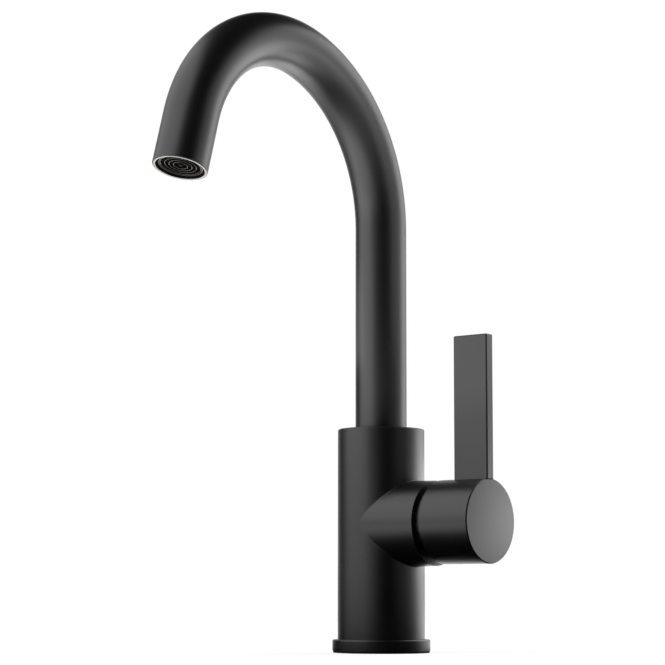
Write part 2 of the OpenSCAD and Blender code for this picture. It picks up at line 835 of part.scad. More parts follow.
// Turned brass spigot that the tube is fixed on and that turns in the column
module spout_spigot() {
    color([0.78, 0.62, 0.3])
    difference() {
        union() {
            translate([0, 0, spigot_z]) cylinder(r = spigot_r, h = flange_z - spigot_z + 0.5);
            translate([0, 0, flange_z]) cylinder(r = spout_r, h = spigot_flange_t);
            translate([0, 0, flange_z])
                cylinder(r = tube_bore_r - push_fit, h = spigot_flange_t + plug_in_tube);
        }
        translate([0, 0, spigot_z - eps])
            cylinder(r = spigot_bore_d / 2, h = tube_z + plug_in_tube - spigot_z + 2 * eps);
        for (z = o_ring_zs)
            ring(spigot_r + 1, spigot_r - o_ring_d, z - o_groove_w / 2, o_groove_w);
        translate([0, 0, retainer_z - groove_w / 2])
            rotate([0, 0, 90 - groove_angle])
                rotate_extrude(angle = 2 * groove_angle)
                    translate([groove_r, 0]) square([4, groove_w]);
    }
}

// Rubber rings that seal the turning spigot
module spigot_o_rings() {
    color([0.1, 0.1, 0.1])
    for (z = o_ring_zs)
        translate([0, 0, z]) o_ring(o_ring_r, o_ring_d);
}

// Threaded bush fixed in the end of the tube
module outlet_bush() {
    color([0.6, 0.5, 0.3])
    at_outlet()
        difference() {
            disc(bush_r, -bush_back, bush_back - bush_recess);
            disc(bush_bore_r, -aerator_back - seal_t, bush_back);
            disc(bush_bore_r - 2, -bush_back - eps, bush_back);
        }
}

// Flat rubber ring behind the aerator
module aerator_gasket() {
    color([0.12, 0.12, 0.12])
    at_outlet() ring(bush_bore_r - 0.1, bush_bore_r - 2.6, -aerator_back - seal_t, seal_t);
}

// Flow regulator: a drilled plate with a raised hub
module flow_regulator() {
    color([0.3, 0.55, 0.35])
    at_outlet()
        difference() {
            union() {
                disc(aerator_in_r - push_fit, -regulator_back, regulator_t);
                disc(3, -regulator_back - 2, 3);
            }
            for (i = [0 : 7])
                rotate([0, 0, i * 45]) translate([aerator_in_r * 0.62, 0, 0])
                    disc(1.1, -regulator_back - 3, 6, $fn = 24);
        }
}

// Sieve plate with rings of fine holes
module aerator_sieve() {
    color([0.7, 0.7, 0.7])
    at_outlet()
        difference() {
            disc(aerator_in_r - push_fit, -sieve_back, sieve_t);
            for (row = [1 : 3], i = [0 : 6 * row - 1])
                rotate([0, 0, i * 60 / row]) translate([row * aerator_in_r / 3.8, 0, 0])
                    disc(sieve_hole_d / 2, -sieve_back - 1, 2.6, $fn = 24);
        }
}

// Concentric rings on a drilled plate that shape the stream
module aerator_rings() {
    plate_t = 0.8;
    back = -aerator_recess - 0.3 - ring_h - plate_t;
    color([0.05, 0.05, 0.05])
    at_outlet()
        difference() {
            union() {
                disc(aerator_in_r - push_fit, back, plate_t);
                disc(post_r, back, plate_t + ring_h);
                for (r = ring_rs) ring(r + ring_t / 2, r - ring_t / 2, back, plate_t + ring_h);
            }
            for (row = [1 : len(ring_rs) - 1], i = [0 : 6 * row - 1])
                rotate([0, 0, i * 60 / row]) translate([ring_rs[row] - ring_pitch / 2, 0, 0])
                    disc(stream_hole_r, back - eps, plate_t + 2 * eps, $fn = 24);
        }
}

// Aerator housing that screws into the bush
module aerator_housing() {
    color([0.1, 0.1, 0.1])
    at_outlet() ring(aerator_r, aerator_in_r, -aerator_back, aerator_l);
}

mixer_body();
base_ring();
base_gasket();
retaining_screw();
lower_glide_ring();
mouth_glide_ring();
port_seals();
cartridge_base();
disc_seals();
fixed_disc();
cartridge_housing();
cartridge_nut();
neck_ring();
moving_disc();
disc_driver();
cartridge_rotor();
pivot_pin();
lever_stem();
lever_hub();
lever_blade();
hub_screw();
hub_screw_plug();
spout_tube();
spout_spigot();
spigot_o_rings();
outlet_bush();
aerator_gasket();
flow_regulator();
aerator_sieve();
aerator_rings();
aerator_housing();
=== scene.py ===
"""Basin mixer tap, dressed: a bent-tube spout on a round column, with a side barrel and a flat upright lever.

Every visible piece is modelled by hand tools round the fixed frame, in millimetres that are turned to metres
on the bench, and all finishes are procedural.
"""

import logging
import math
from dataclasses import dataclass
from enum import Enum
from functools import cache
from typing import Callable, Iterable, Sequence, Union

import bmesh
import bpy
from mathutils import Matrix, Vector


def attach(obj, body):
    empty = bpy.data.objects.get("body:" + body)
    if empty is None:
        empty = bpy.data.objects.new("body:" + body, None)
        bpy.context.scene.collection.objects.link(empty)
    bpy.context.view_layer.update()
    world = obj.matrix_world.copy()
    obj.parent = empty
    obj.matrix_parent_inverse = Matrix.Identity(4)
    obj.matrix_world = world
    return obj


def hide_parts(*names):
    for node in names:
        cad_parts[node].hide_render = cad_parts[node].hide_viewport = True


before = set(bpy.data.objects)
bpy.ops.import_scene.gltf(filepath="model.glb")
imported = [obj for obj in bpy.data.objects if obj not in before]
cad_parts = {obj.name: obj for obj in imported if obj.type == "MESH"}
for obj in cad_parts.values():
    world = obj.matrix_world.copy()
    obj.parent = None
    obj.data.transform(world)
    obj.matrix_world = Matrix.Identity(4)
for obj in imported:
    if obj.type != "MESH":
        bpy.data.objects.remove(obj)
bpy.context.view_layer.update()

log = logging.getLogger("tap")

MM = 0.001
SEGMENTS = 192
NEAR = 0.02 * MM
MERGE = 0.001 * MM
TINY = 1e-6
FACES_ALONG = 0.9
SMOOTH_ANGLE = math.radians(32)

# How far a cutting tool reaches past what it cuts, in millimetres
PAST = 1.0

Colour = tuple[float, float, float]
Piece = bpy.types.Object
Socket = bpy.types.NodeSocket
Element = Union[bmesh.types.BMEdge, bmesh.types.BMFace]
Face = bpy.types.MeshPolygon
Where = Callable[[Vector], bool]


# Names


class Body(Enum):
    """The moving bodies of the tap."""

    MIXER = "mixer"
    SPOUT = "spout"
    LEVER = "lever"


class End(Enum):
    """The two ends of a turned piece, with the sign of the way they face."""

    HEAD = 1
    FOOT = -1


class Kind(Enum):
    """What is picked on a mesh."""

    EDGE = "EDGE"
    FACE = "FACE"


class Cut(Enum):
    """How two solids are joined."""

    TAKE = "DIFFERENCE"
    JOIN = "UNION"
    KEEP = "INTERSECT"


@dataclass(frozen=True)
class Layout:
    """Places that all pieces share, in millimetres."""

    column_foot: float = 7.15
    column_head: float = 120.35
    lever_axis: float = 69.2
    outlet_y: float = -162.311
    outlet_z: float = 239.111
    fall_angle: float = 164.4

    def column(self) -> Matrix:
        """Placement of pieces turned round the column's axis."""
        return Matrix.Identity(4)

    def across(self, height: float) -> Matrix:
        """Placement of a piece whose +Z runs along +X at a height: its -X is up."""
        return Matrix.Translation((0, 0, height * MM)) @ Matrix.Rotation(math.pi / 2, 4, "Y")

    def lever(self) -> Matrix:
        """Placement of pieces turned round the lever axis."""
        return self.across(self.lever_axis)

    def outlet(self) -> Matrix:
        """Placement of pieces in the outlet: their +Z runs along the stream."""
        turn = Matrix.Rotation(math.radians(self.fall_angle), 4, "X")
        return Matrix.Translation((0, self.outlet_y * MM, self.outlet_z * MM)) @ turn

    def back(self, height: float) -> Matrix:
        """Placement of a piece whose +Z runs along +Y at a height."""
        return Matrix.Translation((0, 0, height * MM)) @ Matrix.Rotation(-math.pi / 2, 4, "X")


LAYOUT = Layout()
TO_OUTLET = LAYOUT.outlet().inverted()


# Bench


class Bench:
    """Hand tools that act on one object at a time."""

    @staticmethod
    def clear() -> None:
        """Leaves object mode with nothing selected."""
        if bpy.context.object is not None and bpy.context.object.mode != "OBJECT":
            bpy.ops.object.mode_set(mode="OBJECT")
        bpy.ops.object.select_all(action="DESELECT")

    @staticmethod
    def take(piece: Piece) -> None:
        """Makes a piece the only selected and the active one.

        Args:
            piece: the object to work on.
        """
        Bench.clear()
        piece.select_set(True)
        bpy.context.view_layer.objects.active = piece

    @staticmethod
    def edit(piece: Piece) -> None:
        """Enters edit mode with all of a piece picked.

        Args:
            piece: the object.
        """
        Bench.take(piece)
        bpy.ops.object.mode_set(mode="EDIT")
        bpy.ops.mesh.select_all(action="SELECT")

    @staticmethod
    def added(name: str) -> Piece:
        """Names the primitive that was just added and applies its place and size.

        Args:
            name: the object's name.

        Returns:
            The object.
        """
        piece = bpy.context.object
        piece.name = piece.data.name = name
        bpy.ops.object.transform_apply(location=True, rotation=True, scale=True)
        return piece

    @staticmethod
    def block(name: str, low: Sequence[float], high: Sequence[float]) -> Piece:
        """A block between two corners.

        Args:
            name: the object's name.
            low: lowest corner in millimetres.
            high: highest corner in millimetres.

        Returns:
            The object.
        """
        Bench.clear()
        middle = [(a + b) / 2 * MM for a, b in zip(low, high)]
        bpy.ops.mesh.primitive_cube_add(size=1, location=middle)
        bpy.context.object.scale = [(b - a) * MM for a, b in zip(low, high)]
        return Bench.added(name)

    @staticmethod
    def pick(piece: Piece, kind: Kind, fits: Callable[[Element], bool]) -> None:
        """Enters edit mode and picks the edges or faces that pass a test.

        Args:
            piece: the object.
            kind: edges or faces.
            fits: test on each of them.
        """
        Bench.edit(piece)
        bpy.ops.mesh.select_mode(type=kind.value)
        bpy.ops.mesh.select_all(action="DESELECT")
        mesh = bmesh.from_edit_mesh(piece.data)
        for element in mesh.edges if kind is Kind.EDGE else mesh.faces:
            if fits(element):
                element.select_set(True)
        bmesh.update_edit_mesh(piece.data)

    @staticmethod
    def corners(where: Where) -> Callable[[Element], bool]:
        """Test that all corners of an edge or face lie where another test says."""
        return lambda element: all(where(v.co) for v in element.verts)

    @staticmethod
    def bevel(piece: Piece, fits: Callable[[Element], bool], size: float, segments: int) -> None:
        """Rounds the edges that pass a test.

        Args:
            piece: the object.
            fits: test on each edge.
            size: width of the rounding in millimetres.
            segments: 1 for a chamfer, more for a round.
        """
        Bench.pick(piece, Kind.EDGE, fits)
        bpy.ops.mesh.bevel(
            offset=size * MM, segments=segments, profile=0.5, affect="EDGES", clamp_overlap=False
        )
        bpy.ops.object.mode_set(mode="OBJECT")

    @staticmethod
    def apply(piece: Piece, kind: str, **settings: object) -> None:
        """Gives a piece a modifier and applies it.

        Args:
            piece: the object.
            kind: the modifier's type.
            settings: its properties.
        """
        Bench.take(piece)
        work = piece.modifiers.new("work", kind)
        for key, value in settings.items():
            setattr(work, key, value)
        bpy.ops.object.modifier_apply(modifier=work.name)

    @staticmethod
    def carve(piece: Piece, tools: Iterable[Piece], how: Cut = Cut.TAKE) -> None:
        """Cuts tools out of a piece, or joins them to it, and puts the tools away.

        Args:
            piece: the object that stays.
            tools: the objects that are used up.
            how: cut or join.
        """
        for tool in tools:
            Bench.apply(piece, "BOOLEAN", operation=how.value, solver="EXACT", object=tool)
            bpy.data.objects.remove(tool, do_unlink=True)

    @staticmethod
    def place(piece: Piece, placement: Matrix) -> Piece:
        """Puts a piece where it belongs and leaves its place in its mesh.

        Args:
            piece: the object.
            placement: its placement.

        Returns:
            The same object.
        """
        Bench.take(piece)
        piece.matrix_world = placement
        bpy.ops.object.transform_apply(location=True, rotation=True, scale=True)
        return piece

    @staticmethod
    def finish(piece: Piece) -> None:
        """Merges doubles, turns all faces outwards and shades the curves smooth, the large faces leading.

        Args:
            piece: the object.
        """
        Bench.edit(piece)
        bpy.ops.mesh.remove_doubles(threshold=MERGE)
        bpy.ops.mesh.normals_make_consistent(inside=False)
        bpy.ops.object.mode_set(mode="OBJECT")
        bpy.ops.object.shade_smooth_by_angle(angle=SMOOTH_ANGLE)
        Bench.apply(piece, "WEIGHTED_NORMAL", mode="FACE_AREA", keep_sharp=True)


class Turning:
    """A piece turned round +Z: a bar whose ends are stepped by inset and extrude, then bored and rounded."""

    def __init__(self, name: str, radius: float, foot: float, head: float, segments: int = SEGMENTS) -> None:
        """Adds the bar.

        Args:
            name: the object's name.
            radius: radius in millimetres.
            foot: height of its lower end.
            head: height of its upper end.
            segments: sides of its circle.
        """
        Bench.clear()
        middle = (0, 0, (head + foot) / 2 * MM)
        bpy.ops.mesh.primitive_cylinder_add(
            vertices=segments, radius=radius * MM, depth=(head - foot) * MM, location=middle
        )
        self.piece = Bench.added(name)
        self.segments = segments
        self.radius = {End.HEAD: radius, End.FOOT: radius}
        self.height = {End.HEAD: head, End.FOOT: foot}

    def _pick_caps(self, *ends: End) -> None:
        """Picks the round faces at some ends.

        Args:
            ends: which ends.
        """

        def is_cap(face: bmesh.types.BMFace) -> bool:
            """True for a whole circle that faces the right way."""
            outwards = any(face.normal.z * end.value > FACES_ALONG for end in ends)
            return outwards and len(face.verts) == self.segments

        Bench.pick(self.piece, Kind.FACE, is_cap)

    def step(
        self, end: End, radius: float, height: float | None = None, taper: float | None = None
    ) -> "Turning":
        """Marks a smaller circle on an end face and moves it to a height.

        Args:
            end: which end.
            radius: radius of the smaller circle.
            height: where it goes; left out, it stays.
            taper: radius that it narrows to on the way.

        Returns:
            The same piece.
        """
        self._pick_caps(end)
        inwards = self.radius[end] - radius
        if inwards > TINY:
            bpy.ops.mesh.inset(thickness=inwards * MM * math.cos(math.pi / self.segments), depth=0)
        if height is not None and abs(height - self.height[end]) > TINY:
            move = (0, 0, (height - self.height[end]) * MM)
            bpy.ops.mesh.extrude_region_move(TRANSFORM_OT_translate={"value": move})
            self.height[end] = height
        if taper is not None:
            share = taper / radius
            bpy.ops.transform.resize(value=(share, share, 1), center_override=(0, 0, self.height[end] * MM))
            radius = taper
        self.radius[end] = radius
        bpy.ops.object.mode_set(mode="OBJECT")
        return self

    def dome(self, end: End, rise: float, rings: int = 12) -> "Turning":
        """Draws an end face out into a shallow dome.

        Args:
            end: which end.
            rise: how far its middle stands out in millimetres.
            rings: rings that the dome is made of.

        Returns:
            The same piece.
        """
        base, foot = self.radius[end], self.height[end]
        for ring in range(1, rings):
            share = 1 - ring / rings
            self.step(end, self.radius[end], foot + end.value * rise * (1 - share**2), base * share)
        return self

    def score(self, *heights: float) -> "Turning":
        """Cuts the skin all round at some heights, so that no facet runs past them.

        Args:
            heights: the heights.

        Returns:
            The same piece.
        """
        for height in heights:
            Bench.edit(self.piece)
            bpy.ops.mesh.bisect(plane_co=(0, 0, height * MM), plane_no=(0, 0, 1))
        bpy.ops.object.mode_set(mode="OBJECT")
        return self

    def bore(self, radius: float) -> "Turning":
        """Opens a hole from end to end.

        Args:
            radius: radius of the hole.

        Returns:
            The same piece.
        """
        for end in End:
            self.step(end, radius)
        self._pick_caps(*End)
        bpy.ops.mesh.bridge_edge_loops()
        bpy.ops.object.mode_set(mode="OBJECT")
        return self

    def ease(self, radius: float, height: float, size: float, segments: int = 4) -> "Turning":
        """Rounds or chamfers one circular edge.

        Args:
            radius: radius of the edge.
            height: height of the edge.
            size: width of the rounding.
            segments: 1 for a chamfer.

        Returns:
            The same piece.
        """

        def on_edge(co: Vector) -> bool:
            """True on the circle."""
            return abs(math.hypot(co.x, co.y) - radius * MM) < NEAR and abs(co.z - height * MM) < NEAR

        Bench.bevel(self.piece, Bench.corners(on_edge), size, segments)
        return self

    def placed(self, placement: Matrix) -> Piece:
        """Puts the piece in its place."""
        return Bench.place(self.piece, placement)


def bar(radius: float, foot: float, head: float, placement: Matrix, segments: int = 64) -> Piece:
    """A plain round tool for cutting, from foot to head along the axis of a placement."""
    return Turning("tool", radius, foot, head, segments).placed(placement)


# Shader language

Number = Union["Value", float]


class Value:
    """A number that varies over a surface; Python's operators on it add Math nodes."""

    def __init__(self, graph: "Graph", socket: Socket) -> None:
        """Wraps an output socket of a graph."""
        self.graph = graph
        self.socket = socket

    def _maths(self, operation: str, first: Number, second: Number) -> "Value":
        """The result of a Math node on two operands."""
        node = self.graph.add("ShaderNodeMath", {"operation": operation}, {0: first, 1: second})
        return Value(self.graph, node.outputs[0])

    def __add__(self, other: Number) -> "Value":
        """Sum."""
        return self._maths("ADD", self, other)

    __radd__ = __add__

    def __mul__(self, other: Number) -> "Value":
        """Product."""
        return self._maths("MULTIPLY", self, other)

    __rmul__ = __mul__

    def __sub__(self, other: Number) -> "Value":
        """Difference."""
        return self._maths("SUBTRACT", self, other)

    def __rsub__(self, other: Number) -> "Value":
        """Reflected difference."""
        return self._maths("SUBTRACT", other, self)

    def __truediv__(self, other: Number) -> "Value":
        """Quotient."""
        return self._maths("DIVIDE", self, other)

    def __pow__(self, other: Number) -> "Value":
        """Power."""
        return self._maths("POWER", self, other)

    def over(self, low: float, high: float) -> "Value":
        """0 below low, 1 above high, straight between."""
        bounds = {"Value": self, "From Min": low, "From Max": high}
        return Value(self.graph, self.graph.add("ShaderNodeMapRange", {"clamp": True}, bounds).outputs[0])


class Graph:
    """The node graph of one material or of the world."""

    def __init__(self, name: str, shaded: bool = True, world: bpy.types.World | None = None) -> None:
        """Makes an empty material, or empties the world's graph.

        Args:
            name: the material's name.
            shaded: whether it is built round a Principled shader.
            world: the world to work on in place of a material.
        """
        self.material = world or bpy.data.materials.new(name)
        self.material.use_nodes = True
        self.tree = self.material.node_tree
        self.tree.nodes.clear()
        if shaded:
            self.shader = self.add("ShaderNodeBsdfPrincipled", {}, {})
            self.add("ShaderNodeOutputMaterial", {}, {"Surface": self.shader.outputs[0]})

    def add(self, kind: str, settings: dict, sockets: dict) -> bpy.types.Node:
        """Adds a node, sets it, then fills or links its sockets.

        Args:
            kind: the node's type.
            settings: its properties.
            sockets: values, Values or output sockets by name or place.

        Returns:
            The node.
        """
        node = self.tree.nodes.new(kind)
        for key, value in settings.items():
            setattr(node, key, value)
        for key, value in sockets.items():
            if isinstance(value, Value):
                value = value.socket
            if isinstance(value, Socket):
                self.tree.links.new(value, node.inputs[key])
            else:
                node.inputs[key].default_value = value
        return node

    def place(self) -> Socket:
        """The place on the object, in metres."""
        return self.add("ShaderNodeTexCoord", {}, {}).outputs["Object"]

    def parts(self, vector: Socket) -> tuple[Value, ...]:
        """The three coordinates of a vector."""
        return tuple(Value(self, part) for part in self.add("ShaderNodeSeparateXYZ", {}, {0: vector}).outputs)

    def noise(self, size: float, detail: float, roughness: float = 0.5) -> Value:
        """Soft noise on the object, about 0.5 on average.

        Args:
            size: size of a patch in millimetres.
            detail: octaves.
            roughness: strength of the finer octaves.

        Returns:
            A value from 0 to 1.
        """
        look = {"Vector": self.place(), "Scale": 1 / (size * MM), "Detail": detail, "Roughness": roughness}
        node = self.add("ShaderNodeTexNoise", {"noise_dimensions": "3D"}, look)
        return Value(self, node.outputs[0])

    def blend(self, first: Colour, second: Colour, share: Value) -> Socket:
        """Mixes two colours by the second one's share."""
        node = self.add("ShaderNodeMix", {"data_type": "RGBA"}, {0: share, 6: (*first, 1), 7: (*second, 1)})
        return node.outputs[2]

    def relief(self, height: Value) -> Socket:
        """Turns a height in millimetres into a normal."""
        return self.add("ShaderNodeBump", {}, {"Height": height, "Distance": MM, "Strength": 1.0}).outputs[0]

    def surface(self, colour: Socket, roughness: Value, normal: Socket, fixed: dict[str, float]) -> None:
        """Feeds the shader.

        Args:
            colour: base colour.
            roughness: roughness.
            normal: normal.
            fixed: constants by socket name.
        """
        for key, link in {"Base Color": colour, "Roughness": roughness.socket, "Normal": normal}.items():
            self.tree.links.new(link, self.shader.inputs[key])
        for key, value in fixed.items():
            self.shader.inputs[key].default_value = value


# Finishes


@dataclass(frozen=True)
class Finish:
    """A moulded finish with a slow colour drift, a fine texture and a matching roughness."""

    name: str
    low: Colour
    high: Colour
    roughness: float
    spread: float = 0.05
    patch: float = 6.0
    grain: float = 0.25
    depth: float = 0.006
    metallic: float = 0.0
    specular: float = 0.5
    drift_share: float = 0.7
    contrast: float = 0.2

    def height(self, graph: Graph, fine: Value) -> Value:
        """Height of the texture in millimetres."""
        return fine * self.depth

    @cache
    def make(self) -> bpy.types.Material:
        """Builds the material at its first use.

        Returns:
            The material.
        """
        graph = Graph(self.name)
        drift = graph.noise(self.patch, detail=3.0)
        fine = graph.noise(self.grain, detail=2.0, roughness=0.6)
        share = drift * self.drift_share + fine * (1 - self.drift_share)
        share = share.over(0.5 - self.contrast, 0.5 + self.contrast)
        rough = (drift - 0.5) * self.spread * 2 + (fine - 0.5) * self.spread + self.roughness
        normal = graph.relief(self.height(graph, fine))
        fixed = {"Metallic": self.metallic, "Specular IOR Level": self.specular}
        graph.surface(graph.blend(self.low, self.high, share), rough, normal, fixed)
        return graph.material


@dataclass(frozen=True)
class PowderCoat(Finish):
    """Matte black coat: a soft peel under a fine grain, a little smoother and greyer where it thins out."""

    roughness: float = 0.38
    spread: float = 0.03
    patch: float = 18.0
    grain: float = 0.18
    depth: float = 0.0010
    specular: float = 1.0
    drift_share: float = 0.6
    contrast: float = 0.18
    peel: float = 1.6
    peel_depth: float = 0.004

    def height(self, graph: Graph, fine: Value) -> Value:
        """The peel and the grain on it."""
        return graph.noise(self.peel, detail=1.0) * self.peel_depth + fine * self.depth


@dataclass(frozen=True)
class TurnedMetal(Finish):
    """Metal as it comes off the lathe."""

    spread: float = 0.08
    patch: float = 5.0
    grain: float = 0.12
    depth: float = 0.003
    metallic: float = 1.0


@dataclass(frozen=True)
class OutletPlastic(Finish):
    """The brownish black plastic in the outlet."""

    patch: float = 3.0
    grain: float = 0.3
    depth: float = 0.004


def grey(level: float) -> Colour:
    """A neutral colour."""
    return (level, level, level)


class Look(Enum):
    """All finishes of the tap."""

    COAT = PowderCoat("matte_coat", (0.0030, 0.0030, 0.0031), (0.0048, 0.0048, 0.0050))
    # A darker, rougher copy of the coat: painted shade for the ring deep in the gap behind the hub.
    NECK_PAINTED_SHADE = PowderCoat("neck_coat_painted_shade", grey(0.0018), grey(0.0030), 0.5)
    RUBBER = Finish("rubber", grey(0.010), grey(0.018), 0.68, 0.06, depth=0.010)
    GLIDE_BLACK = Finish("glide_black", grey(0.010), (0.015, 0.015, 0.016), 0.5, patch=5.0, grain=0.2)
    GLIDE_WHITE = Finish("glide_white", (0.66, 0.65, 0.61), (0.74, 0.73, 0.69), 0.42)
    CARTRIDGE = Finish("cartridge_grey", (0.050, 0.050, 0.056), (0.066, 0.066, 0.072), 0.45, depth=0.008)
    DRIVER = Finish("driver_blue", (0.025, 0.060, 0.22), (0.035, 0.075, 0.26), 0.42, patch=5.0)
    REGULATOR = Finish("regulator_green", (0.040, 0.16, 0.060), (0.055, 0.20, 0.075), 0.42, patch=4.0)
    CERAMIC = Finish("ceramic", (0.80, 0.79, 0.74), (0.86, 0.85, 0.81), 0.22, 0.04, 5.0, 0.12, 0.002)
    AERATOR = OutletPlastic(
        "aerator_black", (0.012, 0.0095, 0.006), (0.030, 0.024, 0.015), 0.26, specular=0.75
    )
    # A darker, duller copy of the outlet plastic: painted shade for the outlet's hollows and for the hub's
    # rear cut.
    PAINTED_SHADE_BLACK = OutletPlastic("painted_shade_black", (0.006, 0.0045, 0.003), (0.010, 0.008, 0.005), 0.7, specular=0.2)
    BRASS = TurnedMetal("turned_brass", (0.62, 0.42, 0.16), (0.76, 0.54, 0.24), 0.28)
    STEEL = TurnedMetal("dark_steel", (0.16, 0.16, 0.165), (0.26, 0.26, 0.265), 0.34)
    SIEVE = TurnedMetal("sieve_steel", (0.48, 0.48, 0.47), (0.60, 0.60, 0.59), 0.30)
    BARE = TurnedMetal("bare_rim", (0.70, 0.69, 0.68), (0.82, 0.81, 0.80), 0.32, metallic=0.35)


INNER_NODES = {
    Look.GLIDE_WHITE: ("lower_glide_ring", "cartridge_base", "cartridge_rotor"),
    Look.RUBBER: ("port_seals", "disc_seals", "spigot_o_rings", "aerator_gasket"),
    Look.CERAMIC: ("fixed_disc", "moving_disc"),
    Look.CARTRIDGE: ("cartridge_housing",),
    Look.DRIVER: ("disc_driver",),
    Look.REGULATOR: ("flow_regulator",),
    Look.BRASS: ("cartridge_nut", "lever_stem", "spout_spigot", "outlet_bush"),
    Look.STEEL: ("pivot_pin", "hub_screw"),
    Look.SIEVE: ("aerator_sieve",),
}


def dress_frame() -> None:
    """Gives each inner piece that stays as the frame has it its finish."""
    for look, names in INNER_NODES.items():
        for name in names:
            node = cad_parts[name]
            if not node.material_slots:
                node.data.materials.append(look.value.make())
            for slot in node.material_slots:
                slot.material = look.value.make()
            log.info("%s: finish %s", name, look.value.name)


def dress(piece: Piece, look: Look, body: Body, node: str) -> None:
    """Finishes a piece and lets it stand for its node.

    Args:
        piece: the object.
        look: its finish, unless it has two already.
        body: the body it moves with.
        node: the node it stands for.
    """
    Bench.finish(piece)
    if not piece.data.materials:
        piece.data.materials.append(look.value.make())
    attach(piece, body.value)
    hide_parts(node)
    triangles = sum(len(p.vertices) - 2 for p in piece.data.polygons)
    log.info("%s: %d triangles, rides on %s", piece.name, triangles, body.value)


def two_tone(piece: Piece, main: Look, other: Look, where: Callable[[Face], bool]) -> None:
    """Gives a piece two finishes.

    Args:
        piece: the object.
        main: the finish of most faces.
        other: the finish of the rest.
        where: test on each face.
    """
    for look in (main, other):
        piece.data.materials.append(look.value.make())
    for face in piece.data.polygons:
        face.material_index = int(where(face))


# Sub-assemblies


@dataclass
class Foot:
    """Base ring and gasket under the column."""

    ring_r: float = 26.45
    ring_foot: float = 1.0
    ring_head: float = 7.15
    seat_r: float = 22.05
    seat_z: float = 2.5
    flange_r: float = 19.5
    rim_r: float = 0.9
    rib_r: float = 22.975
    rib_half: float = 0.7
    rib_head: float = 1.9
    rib_gap: float = 0.1
    ring_edge: float = 0.15
    seat_edge: float = 0.1
    gasket_r: float = 26.05
    gasket_in_r: float = 20.5
    gasket_edge: float = 0.2
    fit: float = 0.05
    sides: int = 256

    def ring(self) -> Piece:
        """The wide trim ring.

        Returns:
            The object.
        """
        groove_out, groove_in = self.rib_r + self.rib_half + self.fit, self.rib_r - self.rib_half - self.fit
        turned = Turning("Base_Ring", self.ring_r, self.ring_foot, self.ring_head, self.sides)
        turned.step(End.HEAD, self.seat_r, self.seat_z)
        turned.step(End.FOOT, groove_out, self.rib_head + self.rib_gap)
        turned.step(End.FOOT, groove_in, self.ring_foot).bore(self.flange_r)
        turned.ease(self.ring_r, self.ring_head, self.rim_r, 6)
        turned.ease(self.ring_r, self.ring_foot, self.ring_edge, 2)
        turned.ease(self.seat_r, self.ring_head, self.seat_edge, 1)
        return turned.placed(LAYOUT.column())

    def gasket(self) -> Piece:
        """The thin rubber ring with its keying rib.

        Returns:
            The object.
        """
        turned = Turning("Base_Gasket", self.gasket_r, 0, self.ring_foot, self.sides)
        turned.step(End.HEAD, self.rib_r + self.rib_half, self.rib_head)
        turned.step(End.HEAD, self.rib_r - self.rib_half, self.ring_foot)
        turned.bore(self.gasket_in_r)
        for height in (0, self.ring_foot):
            turned.ease(self.gasket_r, height, self.gasket_edge, 3)
        return turned.placed(LAYOUT.column())

    def build(self) -> None:
        """Makes and dresses the pieces."""
        dress(self.ring(), Look.COAT, Body.MIXER, "base_ring")
        dress(self.gasket(), Look.RUBBER, Body.MIXER, "base_gasket")


